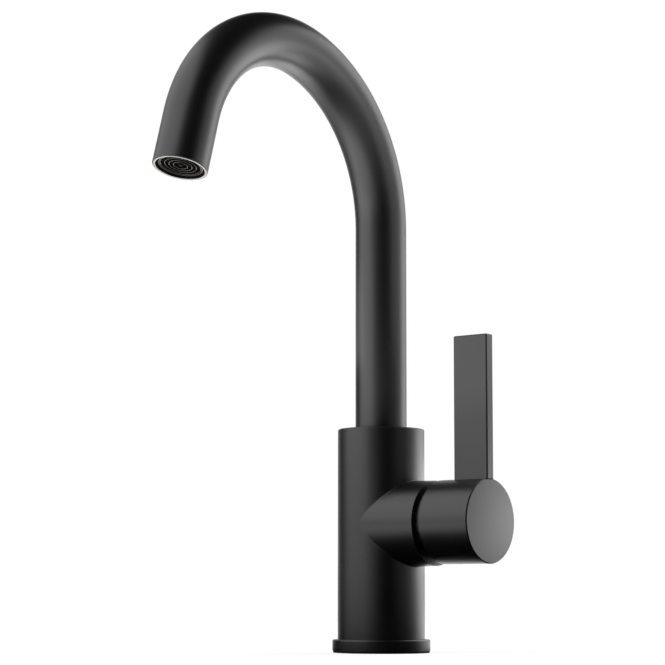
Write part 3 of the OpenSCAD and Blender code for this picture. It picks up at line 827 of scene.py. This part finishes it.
@dataclass
class Casting:
    """Column and side barrel in one casting, with the mouth ring, the neck ring and the back screw."""

    column_r: float = 23.6
    rim_r: float = 0.9
    register_r: float = 22.0
    register_z: float = 2.5
    mouth_r: float = 15.05
    mouth_z: float = 115.85
    socket_r: float = 14.3
    socket_z: float = 108.0
    chamber_r: float = 11.5
    chamber_z: float = 90.0
    barrel_root_r: float = 23.5
    barrel_r: float = 22.6
    barrel_drop: float = 0.45
    barrel_end: float = 37.25
    barrel_edge: float = 0.4
    joint_r: float = 0.45
    seat_r: float = 17.55
    seat_x: float = 2.0
    thread_r: float = 19.15
    thread_x: float = 26.62
    inlet_r: float = 4.5
    inlet_depth: float = 14.0
    inlet_at: tuple[float, float] = (-8.0, 9.0)
    channel_r: float = 3.5
    channel_head: float = 74.1
    stud_r: float = 3.4
    stud_x: float = 10.0
    stud_depth: float = 17.0
    fit: float = 0.05
    sides: int = 200
    ring_r: float = 15.0
    ring_in_r: float = 14.05
    ring_head: float = 120.05
    neck_r: float = 19.1
    neck_foot: float = 33.82
    neck_seat_r: float = 17.1
    neck_seat: float = 36.45
    neck_lip_r: float = 18.9
    neck_head: float = 39.4
    neck_in_r: float = 12.5
    screw_z: float = 103.3
    screw_r: float = 2.5
    screw_foot: float = 12.7
    screw_head: float = 22.4
    dog_r: float = 1.9
    dog_end: float = 9.55
    key_r: float = 1.25
    key_floor: float = 20.0
    key_head: float = 24.0
    edge: float = 0.3
    fine_edge: float = 0.2
    finest_edge: float = 0.15

    def casting(self) -> Piece:
        """The casting with its sockets, bores and the small round where the barrel meets the column.

        Returns:
            The object.
        """
        foot, head = LAYOUT.column_foot, LAYOUT.column_head
        column = Turning("Mixer_Body", self.column_r, foot, head, self.sides)
        column.step(End.FOOT, self.register_r, self.register_z)
        column.ease(self.column_r, head, self.rim_r, 6)
        axis, reach = LAYOUT.lever_axis - self.barrel_drop, self.barrel_root_r + PAST
        column.score(axis - reach, axis, axis + reach)
        barrel = Turning("barrel", self.barrel_root_r, -PAST, 0, self.sides)
        barrel.step(End.HEAD, self.barrel_root_r, self.barrel_end, self.barrel_r)
        barrel.ease(self.barrel_r, self.barrel_end, self.barrel_edge, 2).score(self.column_r + PAST)
        piece = column.placed(LAYOUT.column())
        lowered = Matrix.Translation((0, 0, -self.barrel_drop * MM)) @ LAYOUT.lever()
        Bench.carve(piece, [barrel.placed(lowered)], Cut.JOIN)
        self._round_joint(piece)
        tools = [
            bar(self.mouth_r, self.mouth_z, head + PAST, LAYOUT.column(), SEGMENTS),
            bar(self.socket_r, self.socket_z, head, LAYOUT.column(), SEGMENTS),
            bar(self.chamber_r, self.chamber_z, head, LAYOUT.column(), 128),
            bar(self.seat_r, self.seat_x, self.barrel_end + PAST, LAYOUT.lever(), SEGMENTS),
            bar(self.thread_r, self.thread_x, self.barrel_end + PAST, LAYOUT.lever(), SEGMENTS),
            bar(self.screw_r + self.fit, 0, self.column_r + 2 * PAST, LAYOUT.back(self.screw_z)),
            self._upright(self.stud_r, self.stud_x, 0, self.register_z + self.stud_depth),
        ]
        x, y = self.inlet_at
        for side in (-1, 1):
            tools.append(self._upright(self.inlet_r, x, side * y, self.register_z + self.inlet_depth))
            tools.append(self._upright(self.channel_r, x, side * y, self.channel_head))
        Bench.carve(piece, tools)
        return piece

    def _upright(self, radius: float, x: float, y: float, head: float) -> Piece:
        """A drill that enters from below at x and y and reaches up to head."""
        return bar(radius, self.register_z - PAST, head, Matrix.Translation((x * MM, y * MM, 0)))

    def _round_joint(self, piece: Piece) -> None:
        """Rounds the corner between the barrel and the column.

        Args:
            piece: the joined casting.
        """
        axis = (LAYOUT.lever_axis - self.barrel_drop) * MM
        slope = (self.barrel_root_r - self.barrel_r) / self.barrel_end

        def on_joint(co: Vector) -> bool:
            """True where the two round surfaces meet.

            Args:
                co: a corner's place.

            Returns:
                Whether it lies on both.
            """
            on_column = abs(math.hypot(co.x, co.y) - self.column_r * MM) < NEAR
            radius = self.barrel_root_r * MM - slope * co.x
            on_barrel = abs(math.hypot(co.y, co.z - axis) - radius) < NEAR
            return on_column and on_barrel and co.x > 0

        Bench.bevel(piece, Bench.corners(on_joint), self.joint_r, 3)

    def mouth_ring(self) -> Piece:
        """The dark glide ring round the foot of the spout.

        Returns:
            The object.
        """
        turned = Turning("Mouth_Ring", self.ring_r, self.mouth_z, self.ring_head).bore(self.ring_in_r)
        turned.ease(self.ring_r, self.ring_head, self.finest_edge, 2)
        turned.ease(self.ring_in_r, self.ring_head, self.fine_edge, 2)
        return turned.placed(LAYOUT.column())

    def neck(self) -> Piece:
        """The ring in the gap behind the hub, given a darker, rougher coat as painted shade of the deep gap.

        Returns:
            The object.
        """
        turned = Turning("Neck_Ring", self.neck_r, self.neck_foot, self.barrel_end)
        turned.step(End.HEAD, self.neck_lip_r, self.neck_head)
        turned.step(End.FOOT, self.neck_seat_r, self.neck_seat)
        turned.bore(self.neck_in_r).ease(self.neck_lip_r, self.neck_head, self.edge, 3)
        return turned.placed(LAYOUT.lever())

    def back_screw(self) -> Piece:
        """The grub screw at the back, with its hexagon socket and its dog point.

        Returns:
            The object.
        """
        turned = Turning("Back_Screw", self.screw_r, self.screw_foot, self.screw_head, 48)
        turned.step(End.FOOT, self.dog_r, self.dog_end)
        turned.ease(self.screw_r, self.screw_head, self.edge, 2)
        turned.ease(self.dog_r, self.dog_end, self.fine_edge, 2)
        piece = turned.placed(LAYOUT.back(self.screw_z))
        Bench.carve(piece, [bar(self.key_r, self.key_floor, self.key_head, LAYOUT.back(self.screw_z), 6)])
        return piece

    def build(self) -> None:
        """Makes and dresses the pieces."""
        dress(self.casting(), Look.COAT, Body.MIXER, "mixer_body")
        dress(self.mouth_ring(), Look.GLIDE_BLACK, Body.MIXER, "mouth_glide_ring")
        # The neck ring's darker coat is painted shade.
        dress(self.neck(), Look.NECK_PAINTED_SHADE, Body.MIXER, "neck_ring")
        dress(self.back_screw(), Look.STEEL, Body.MIXER, "retaining_screw")


@dataclass
class Lever:
    """Hub cup, upright blade and the plug under the hub, made in the lever's own frame."""

    hub_r: float = 22.2
    hub_foot: float = 40.4
    hub_head: float = 72.4
    blade_head: float = 72.1
    collar_r: float = 22.1
    collar_foot_r: float = 21.65
    collar_l: float = 1.4
    cup_r: float = 19.2
    cup_floor: float = 66.0
    cup_edge: float = 0.2
    boss_r: float = 9.0
    boss_foot: float = 48.0
    stem_half: float = 4.05
    dome: float = 0.4
    edge: float = 0.55
    relief_drop: float = 5.5
    relief_ramp: float = 1.5
    turned_away: float = 0.3
    grip_x: float = 55.0
    screw_r: float = 2.55
    screw_start: float = 3.0
    plug_r: float = 3.0
    plug_floor: float = 17.2
    plug_skin: float = 8.0
    blade_w: float = 21.4
    blade_t: float = 6.1
    blade_top: float = 98.4
    blade_edge: float = 0.8
    tip_edge: float = 0.75
    tenon_foot: float = 53.7
    tenon_l: float = 11.0
    tenon_half: float = 1.85
    tenon_r: float = 17.6
    fit: float = 0.05
    slack: float = 0.1
    sides: int = 240

    def hub(self) -> Piece:
        """The cup: a faintly domed face, a rear collar, cut back below, and the boss that grips the stem.

        Returns:
            The object.
        """
        rim = self.hub_head - self.dome
        turned = Turning("Lever_Hub", self.hub_r, self.hub_foot + self.collar_l, rim, self.sides)
        turned.step(End.FOOT, self.collar_r, self.hub_foot, self.collar_foot_r)
        turned.step(End.FOOT, self.cup_r, self.cup_floor)
        turned.step(End.FOOT, self.boss_r, self.boss_foot)
        turned.dome(End.HEAD, self.dome).ease(self.hub_r, rim, self.edge, 1)
        for radius in (self.collar_foot_r, self.cup_r):
            turned.ease(radius, self.hub_foot, self.cup_edge, 2)
        far, half, down = self.hub_r + 2 * PAST, self.stem_half, LAYOUT.across(self.grip_x)
        socket = Bench.block("tool", (-half, -half, self.boss_foot - PAST), (half, half, self.cup_floor))
        screw = bar(self.screw_r, self.screw_start, far, down)
        plug = bar(self.plug_r + self.fit, self.plug_floor, far, down)
        Bench.carve(turned.piece, [self._relief(far), socket, self._tenon(far, self.fit), screw, plug])
        return turned.placed(LAYOUT.lever())

    def _tenon(self, far: float, fit: float = 0.0) -> Piece:
        """The block that joins the blade to the hub, or with a fit the slot for it, out to a distance."""
        half, head = self.tenon_half + fit, self.tenon_foot + self.tenon_l + fit
        return Bench.block("tool", (-far, -half, self.tenon_foot - fit), (-self.tenon_r + fit, half, head))

    def _relief(self, far: float) -> Piece:
        """The cut that lets the rear rim pass the barrel when the lever tilts.

        Args:
            far: how far the tool reaches sideways.

        Returns:
            The tool.
        """
        shelf = self.hub_foot + self.collar_l
        start = self.relief_drop - self.relief_ramp - 2 * self.relief_ramp / self.collar_l
        tool = Bench.block("tool", (start, -far, self.hub_foot - PAST), (far, far, shelf))

        def on_rear(co: Vector) -> bool:
            """True on the edge that slopes away."""
            return co.x < (start + self.slack) * MM and co.z > (shelf - self.slack) * MM

        Bench.pick(tool, Kind.EDGE, Bench.corners(on_rear))
        bpy.ops.transform.translate(value=((self.relief_drop + self.relief_ramp - start) * MM, 0, 0))
        bpy.ops.object.mode_set(mode="OBJECT")
        return tool

    def blade(self) -> Piece:
        """The flat blade with softly rounded edges, seated on the hub and let into it by a tenon.

        Returns:
            The object.
        """
        half = self.blade_t / 2
        foot, head = self.blade_head - self.blade_w, self.blade_head
        piece = Bench.block("Lever_Blade", (-self.blade_top, -half, foot), (0, half, head))

        def is_long(edge: bmesh.types.BMEdge) -> bool:
            """True on the four upright edges."""
            return abs(edge.verts[0].co.x - edge.verts[1].co.x) > self.blade_w * MM

        def on_tip(co: Vector) -> bool:
            """True on the upper end."""
            return co.x < (-self.blade_top + self.slack) * MM

        Bench.bevel(piece, is_long, self.blade_edge, 5)
        Bench.bevel(piece, Bench.corners(on_tip), self.tip_edge, 4)
        Bench.carve(piece, [bar(self.hub_r, foot - PAST, head + PAST, LAYOUT.column(), self.sides)])
        Bench.carve(piece, [self._tenon(self.hub_r + PAST)], Cut.JOIN)
        return Bench.place(piece, LAYOUT.lever())

    def plug(self) -> Piece:
        """The small plug that hides the grub screw, rounded like the hub.

        Returns:
            The object.
        """
        turned = Turning("Hub_Plug", self.plug_r, self.cup_r, self.hub_r + PAST, 48)
        piece = turned.placed(LAYOUT.across(self.grip_x))
        foot, head = self.grip_x - self.plug_skin, self.grip_x + self.plug_skin
        skin = bar(self.hub_r - self.fit, foot, head, LAYOUT.column(), self.sides)
        Bench.carve(piece, [skin], Cut.KEEP)
        return Bench.place(piece, LAYOUT.lever())

    def build(self) -> None:
        """Makes and dresses the pieces."""
        hub = self.hub()

        def rear_in_painted_shade(face: Face) -> bool:
            """True on the rear faces of the cut below, which get the darker black as painted shade.

            Args:
                face: a face of the hub.

            Returns:
                Whether it is one of them.
            """
            low = face.center.z < (LAYOUT.lever_axis - self.relief_drop) * MM
            rear = face.center.x < (self.hub_foot + self.collar_l + self.slack) * MM
            return low and rear and face.normal.x < -self.turned_away

        # The lower rear faces of the hub get the darker black as painted shade.
        two_tone(hub, Look.COAT, Look.PAINTED_SHADE_BLACK, rear_in_painted_shade)
        dress(hub, Look.COAT, Body.LEVER, "lever_hub")
        dress(self.blade(), Look.COAT, Body.LEVER, "lever_blade")
        dress(self.plug(), Look.GLIDE_BLACK, Body.LEVER, "hub_screw_plug")


@dataclass
class Spout:
    """The bent tube with its bore and its bare cut rim."""

    tube_r: float = 14.0
    wall: float = 1.5
    foot: float = 111.05
    arc_z: float = 230.55
    rise_r: float = 89.2
    rise_angle: float = 76.8
    rise_steps: int = 72
    fall_centre: tuple[float, float] = (85.272, 247.296)
    fall_steps: int = 80
    tail: float = 28.6
    merge: float = 0.002
    rim_edge: float = 0.5
    bore_edge: float = 0.15
    sides: int = 160

    def tube(self) -> Piece:
        """The tube: a circle drawn up, spun round both bends, drawn down and given its wall.

        Returns:
            The object.
        """
        Bench.clear()
        bpy.ops.mesh.primitive_circle_add(
            vertices=self.sides, radius=self.tube_r * MM, fill_type="NOTHING", location=(0, 0, self.foot * MM)
        )
        piece = Bench.added("Spout_Tube")
        Bench.edit(piece)
        self._draw((0, 0, self.arc_z - self.foot))
        self._bend(self.rise_r, self.arc_z, self.rise_angle, self.rise_steps)
        self._bend(*self.fall_centre, LAYOUT.fall_angle - self.rise_angle, self.fall_steps)
        fall = math.radians(LAYOUT.fall_angle)
        self._draw((0, -math.sin(fall) * self.tail, math.cos(fall) * self.tail))
        bpy.ops.mesh.select_all(action="SELECT")
        bpy.ops.mesh.remove_doubles(threshold=self.merge * MM)
        bpy.ops.mesh.normals_make_consistent(inside=False)
        bpy.ops.object.mode_set(mode="OBJECT")
        Bench.apply(piece, "SOLIDIFY", thickness=self.wall * MM, offset=-1, use_even_offset=True)
        self._ease_rim(piece, self.tube_r, self.rim_edge, 4)
        self._ease_rim(piece, self.tube_r - self.wall, self.bore_edge, 2)
        return piece

    def _draw(self, way: Sequence[float]) -> None:
        """Draws the picked end along a straight, in millimetres."""
        bpy.ops.mesh.extrude_edges_move(TRANSFORM_OT_translate={"value": [w * MM for w in way]})

    def _bend(self, reach: float, height: float, angle: float, steps: int) -> None:
        """Spins the picked end round a centre in front of the column by some degrees."""
        centre = (0, -reach * MM, height * MM)
        bpy.ops.mesh.spin(steps=steps, angle=math.radians(angle), center=centre, axis=(-1, 0, 0))

    def _ease_rim(self, piece: Piece, radius: float, size: float, segments: int) -> None:
        """Rounds one edge of the outlet.

        Args:
            piece: the tube.
            radius: radius of the edge.
            size: width of the rounding.
            segments: facets of the rounding.
        """

        def on_rim(co: Vector) -> bool:
            """True on the edge."""
            spot = TO_OUTLET @ co
            return abs(spot.z) < NEAR and abs(spot.xy.length - radius * MM) < NEAR

        Bench.bevel(piece, Bench.corners(on_rim), size, segments)

    def build(self) -> None:
        """Makes and dresses the tube."""
        piece = self.tube()

        def is_bare(face: Face) -> bool:
            """True on the cut rim."""
            spot = TO_OUTLET @ face.center
            return spot.z > -self.bore_edge * MM and spot.xy.length < (self.tube_r - self.rim_edge) * MM

        two_tone(piece, Look.COAT, Look.BARE, is_bare)
        dress(piece, Look.COAT, Body.SPOUT, "spout_tube")


@dataclass
class Outlet:
    """Aerator housing and the ringed plate inside it."""

    housing_r: float = 11.35
    housing_in_r: float = 10.55
    face: float = -1.0
    back: float = -14.0
    plate_r: float = 10.5
    plate_back: float = -3.7
    plate_face: float = -2.9
    ring_face: float = -1.3
    ring_half: float = 0.22
    ring_edge: float = 0.19
    rings: tuple[float, ...] = (10.2, 8.0, 5.8, 3.6)
    post_r: float = 1.1
    hole_r: float = 0.6
    edge: float = 0.2
    mouth_edge: float = 0.25
    sides: int = 128

    def housing(self) -> Piece:
        """The threaded housing.

        Returns:
            The object.
        """
        turned = Turning("Aerator_Housing", self.housing_r, self.back, self.face, self.sides)
        turned.bore(self.housing_in_r)
        turned.ease(self.housing_r, self.face, self.edge, 2)
        turned.ease(self.housing_in_r, self.face, self.mouth_edge, 2)
        return turned.placed(LAYOUT.outlet())

    def plate(self) -> Piece:
        """The drilled plate with its concentric rings.

        Returns:
            The object.
        """
        turned = Turning("Aerator_Rings", self.plate_r, self.plate_back, self.plate_face, self.sides)
        for radius in self.rings:
            turned.step(End.HEAD, radius + self.ring_half, self.ring_face)
            turned.step(End.HEAD, radius - self.ring_half, self.plate_face)
        turned.step(End.HEAD, self.post_r, self.ring_face)
        for radius in self.rings:
            for side in (self.ring_half, -self.ring_half):
                turned.ease(radius + side, self.ring_face, self.ring_edge, 3)
        turned.ease(self.post_r, self.ring_face, self.edge, 2)
        Bench.carve(turned.piece, [self._drills()])
        return turned.placed(LAYOUT.outlet())

    def _drills(self) -> Piece:
        """One tool with a drill for each stream hole, copied from the first.

        Returns:
            The tool.
        """
        inner = sorted(self.rings)
        first = bar(self.hole_r, self.plate_back - PAST, self.plate_face + PAST / 2, LAYOUT.column(), 24)
        drills = []
        for row in range(1, len(inner)):
            at = (inner[row] + inner[row - 1]) / 2
            for turn in range(6 * row):
                angle = math.radians(turn * 60 / row)
                spot = (at * math.cos(angle) * MM, at * math.sin(angle) * MM, 0)
                drill = first.copy()
                drill.data = first.data.copy()
                bpy.context.scene.collection.objects.link(drill)
                drills.append(Bench.place(drill, Matrix.Translation(spot)))
        bpy.data.objects.remove(first, do_unlink=True)
        Bench.take(drills[0])
        for drill in drills:
            drill.select_set(True)
        bpy.ops.object.join()
        return bpy.context.object

    def build(self) -> None:
        """Makes and dresses the pieces."""
        dress(self.housing(), Look.AERATOR, Body.SPOUT, "aerator_housing")
        plate = self.plate()

        def in_painted_shade(face: Face) -> bool:
            """True between the rings and on the post, where the darker black is painted shade."""
            spot = TO_OUTLET @ face.center
            return spot.z < (self.ring_face - self.ring_half) * MM or spot.xy.length < self.post_r * MM

        # The plate's hollows get the darker black as painted shade.
        two_tone(plate, Look.AERATOR, Look.PAINTED_SHADE_BLACK, in_painted_shade)
        dress(plate, Look.AERATOR, Body.SPOUT, "aerator_rings")


# Studio


def swing(first: Vector, second: Vector, angle: float) -> tuple[Vector, Vector]:
    """Turns two directions at right angles, the first towards the second."""
    cosine, sine = math.cos(angle), math.sin(angle)
    return first * cosine + second * sine, second * cosine - first * sine


@dataclass(frozen=True)
class Eye:
    """The camera: on a circle round the column, a little above the basin, tilted up."""

    azimuth: float = 37.55
    distance: float = 1.11291
    height: float = 0.03216
    pitch: float = 7.256
    yaw: float = -1.373
    roll: float = 0.108
    lens_px: float = 2040.711
    frame_px: float = 665.0
    sensor: float = 36.0
    clip: tuple[float, float] = (0.01, 50.0)

    def look(self) -> None:
        """Makes the camera and hands it to the scene."""
        a = math.radians(self.azimuth)
        ahead, right = Vector((-math.sin(a), math.cos(a), 0)), Vector((math.cos(a), math.sin(a), 0))
        ahead, right = swing(ahead, right, math.radians(self.yaw))
        ahead, up = swing(ahead, Vector((0, 0, 1)), math.radians(self.pitch))
        right, up = swing(right, up, math.radians(self.roll))
        lens = bpy.data.cameras.new("eye")
        lens.sensor_width = self.sensor
        lens.lens = self.lens_px * self.sensor / self.frame_px
        lens.clip_start, lens.clip_end = self.clip
        eye = bpy.data.objects.new("eye", lens)
        bpy.context.scene.collection.objects.link(eye)
        place = Matrix((right, up, -ahead)).transposed().to_4x4()
        place.translation = (math.sin(a) * self.distance, -math.cos(a) * self.distance, self.height)
        eye.matrix_world = place
        bpy.context.scene.camera = eye


EYE = Eye()


def way_at(azimuth: float, elevation: float = 0.0) -> Vector:
    """The way to an azimuth from the camera's, positive to the right, and an elevation, in degrees."""
    a, e = math.radians(EYE.azimuth + azimuth), math.radians(elevation)
    return Vector((math.sin(a) * math.cos(e), -math.cos(a) * math.cos(e), math.sin(e)))


@dataclass(frozen=True)
class Softbox:
    """A rectangular lamp that faces the tap and stays out of the camera's view."""

    name: str
    azimuth: float
    elevation: float
    distance: float
    width: float
    height: float
    radiance: float
    aim: tuple[float, float, float] = (0.0, -0.05, 0.15)

    def light(self) -> None:
        """Puts the lamp up."""
        way = way_at(self.azimuth, self.elevation)
        lamp = bpy.data.lights.new(self.name, "AREA")
        lamp.shape = "RECTANGLE"
        lamp.size, lamp.size_y = self.width, self.height
        lamp.energy = self.radiance * math.pi * self.width * self.height
        holder = bpy.data.objects.new(self.name, lamp)
        bpy.context.scene.collection.objects.link(holder)
        holder.location = Vector(self.aim) + way * self.distance
        holder.rotation_euler = (-way).to_track_quat("-Z", "Y").to_euler()
        holder.visible_camera = False


def share_of(graph: Graph, *kinds: str) -> Value:
    """1 for rays of the named kinds, 0 for others.

    Args:
        graph: the graph.
        kinds: outputs of the Light Path node.

    Returns:
        The mask.
    """
    path = graph.add("ShaderNodeLightPath", {}, {})
    total = Value(graph, path.outputs[kinds[0]])
    for kind in kinds[1:]:
        total = total + Value(graph, path.outputs[kind])
    return total.over(0.0, 1.0)


@dataclass(frozen=True)
class Zone:
    """A wedge of the studio round the tap, by azimuth from the camera's, that a polished thing sees bright.

    It grows from nothing at near to its level at far, and fades out again over the fade.
    """

    azimuth: float
    half_angle: float
    near: float
    far: float
    level: float
    soft: float = 15.0
    fade: tuple[float, float] | None = None

    def wedge(self, x: Value, y: Value, reach: Value) -> Value:
        """1 inside the wedge's sides, 0 outside.

        Args:
            x: first coordinate.
            y: second coordinate.
            reach: distance from the column's axis.

        Returns:
            The mask.
        """
        way = way_at(self.azimuth)
        outer, inner = (math.cos(math.radians(self.half_angle + s)) for s in (self.soft, -self.soft))
        return ((x * way.x + y * way.y) / reach).over(outer, inner)


@dataclass(frozen=True)
class Floor:
    """A pale floor, white to the camera but for the tap's shadow; gloss sees it dark close round the tap."""

    size: float = 40.0
    paint: float = 0.7
    glow: float = 0.72
    clear_from: float = 0.22
    clear_to: float = 0.5
    zones: tuple[Zone, ...] = (
        Zone(165, 45, 0.03, 0.10, 2.1, fade=(0.45, 0.80)),
        Zone(170, 30, 0.80, 1.20, 2.0),
        Zone(-60, 40, 0.12, 0.22, 1.1),
        Zone(-120, 30, 0.30, 0.45, 0.2),
        Zone(67, 22, 0.30, 0.45, 0.7),
        Zone(125, 40, 0.07, 0.15, 0.8),
    )

    def lay(self) -> None:
        """Makes the floor."""
        Bench.clear()
        bpy.ops.mesh.primitive_plane_add(size=self.size)
        plane = Bench.added("floor")
        graph = Graph("floor", shaded=False)
        x, y, _ = graph.parts(graph.place())
        reach = (x * x + y * y) ** 0.5
        shine = 0.0
        for zone in self.zones:
            wedge = zone.wedge(x, y, reach) * reach.over(zone.near, zone.far)
            if zone.fade:
                wedge = wedge * (1 - reach.over(*zone.fade))
            shine = wedge * zone.level + shine
        clear = reach.over(self.clear_from, self.clear_to) * (1 - self.glow) + self.glow
        paint = graph.add("ShaderNodeBsdfDiffuse", {}, {0: (*grey(self.paint), 1)})
        lit = graph.add("ShaderNodeEmission", {}, {"Strength": share_of(graph, "Is Camera Ray") * clear})
        pale = graph.add("ShaderNodeAddShader", {}, {0: paint.outputs[0], 1: lit.outputs[0]})
        mirrored = graph.add("ShaderNodeEmission", {}, {"Strength": shine})
        gloss = share_of(graph, "Is Glossy Ray", "Is Transmission Ray")
        both = graph.add("ShaderNodeMixShader", {}, {0: gloss, 1: pale.outputs[0], 2: mirrored.outputs[0]})
        graph.add("ShaderNodeOutputMaterial", {}, {"Surface": both.outputs[0]})
        plane.data.materials.append(graph.material)


@dataclass(frozen=True)
class Backdrop:
    """White to the camera; gloss sees the same white behind the tap, and the rest of the room dim."""

    fill: float = 0.017
    behind: Zone = Zone(180, 30, 30.0, 38.0, 1.0, 10.0)

    def hang(self) -> None:
        """Makes the world."""
        world = bpy.data.worlds.new("studio")
        bpy.context.scene.world = world
        graph = Graph("studio", shaded=False, world=world)
        x, y, z = graph.parts(graph.add("ShaderNodeTexCoord", {}, {}).outputs["Generated"])
        wedge = self.behind.wedge(x, y, (x * x + y * y) ** 0.5)
        top, bottom = (math.sin(math.radians(v)) for v in (self.behind.far, self.behind.near))
        card = wedge * (1 - z.over(bottom, top)) * self.behind.level
        gloss = share_of(graph, "Is Glossy Ray", "Is Transmission Ray") * card
        level = (share_of(graph, "Is Camera Ray") + gloss + self.fill).over(0.0, 1.0)
        sky = graph.add("ShaderNodeBackground", {}, {"Color": (1, 1, 1, 1), "Strength": level})
        graph.add("ShaderNodeOutputWorld", {}, {"Surface": sky.outputs[0]})


@dataclass(frozen=True)
class Studio:
    """Floor, background and lamps round the tap, before the camera."""

    floor: Floor = Floor()
    backdrop: Backdrop = Backdrop()
    boxes: tuple[Softbox, ...] = (
        Softbox("left_box", -74.6, 34.7, 0.523, 0.90, 0.773, 1.21),
        Softbox("right_box", 123.1, 17.3, 0.662, 0.421, 0.842, 1.94),
        Softbox("side_box", 84.7, 29.0, 0.34, 0.387, 0.267, 0.51),
        Softbox("low_box", 144.0, -48.0, 0.32, 0.414, 0.102, 1.32, (0.0, -0.06, 0.32)),
        Softbox("under_box", -23.3, -79.7, 0.158, 0.465, 0.148, 0.56, (0.0, -0.12, 0.30)),
        Softbox("edge_box", -125.0, -50.0, 0.14, 0.12, 0.1, 0.5, (0.0, -0.05, 0.30)),
    )

    def build(self) -> None:
        """Sets the stage."""
        self.floor.lay()
        self.backdrop.hang()
        for box in self.boxes:
            box.light()
        EYE.look()
        bpy.context.scene.view_settings.view_transform = "Standard"


def write_size() -> None:
    """Brings the view layer up to date."""
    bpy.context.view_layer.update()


def main() -> None:
    """Builds the tap and the studio in order."""
    logging.basicConfig(level=logging.INFO, format="%(message)s")
    dress_frame()
    for part in (Foot(), Casting(), Lever(), Spout(), Outlet()):
        part.build()
        log.info("%s done", type(part).__name__)
    Studio().build()
    write_size()


if __name__ == "__main__":
    main()
